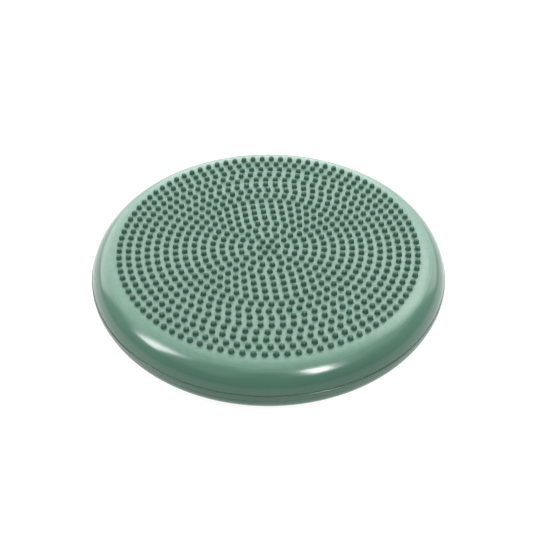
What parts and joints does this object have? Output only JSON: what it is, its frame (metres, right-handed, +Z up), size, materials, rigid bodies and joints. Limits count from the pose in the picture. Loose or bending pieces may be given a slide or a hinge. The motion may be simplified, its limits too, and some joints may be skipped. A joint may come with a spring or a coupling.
{
  "type": "balance pad",
  "caption": "Round inflatable balance cushion of soft vinyl: a knobbed upper shell and a smooth lower shell welded at the rim, tilting on trapped air, with a plugged inflation valve.",
  "frame": {"origin": "centre of the underside, where the pad stands", "axes": "+Z up through the middle of the pad, +Y towards the valve on the rim, +X to the right of someone facing the valve side from the front"},
  "size_m": [0.3299, 0.33, 0.053],
  "materials": {
    "upper_vinyl": "soft green vinyl, satin on the flat top and glossy on the rim",
    "lower_vinyl": "soft green vinyl, glossy, satin underneath",
    "band_vinyl": "glossy green vinyl weld",
    "valve_collar": "moulded green vinyl",
    "valve_rubber": "matt black rubber",
    "plug_plastic": "off-white moulded plastic"
  },
  "bodies": {
    "base": {"lower_shell": "lower_vinyl", "valve_sleeve": "valve_collar", "valve_core": "valve_rubber"},
    "band": {"seam_band": "band_vinyl"},
    "top": {"upper_shell": "upper_vinyl"},
    "plug": {"valve_plug": "plug_plastic"}
  },
  "joints": [
    {"name": "side_tilt", "type": "hinge", "parent": "base", "child": "band", "pos_m": [0, 0, 0.02425], "axis": [0, 1, 0], "range_deg": [-5, 5], "stiffness_Nm_per_rad": 250, "deforming": ["lower_shell"]},
    {"name": "fore_tilt", "type": "hinge", "parent": "band", "child": "top", "pos_m": [0, 0, 0.02425], "axis": [1, 0, 0], "range_deg": [-5, 5], "stiffness_Nm_per_rad": 250, "deforming": ["upper_shell"]},
    {"name": "plug_pull", "type": "slide", "parent": "base", "child": "plug", "axis": [0, 0.9397, -0.342], "range_m": [0, 0.025]}
  ]
}
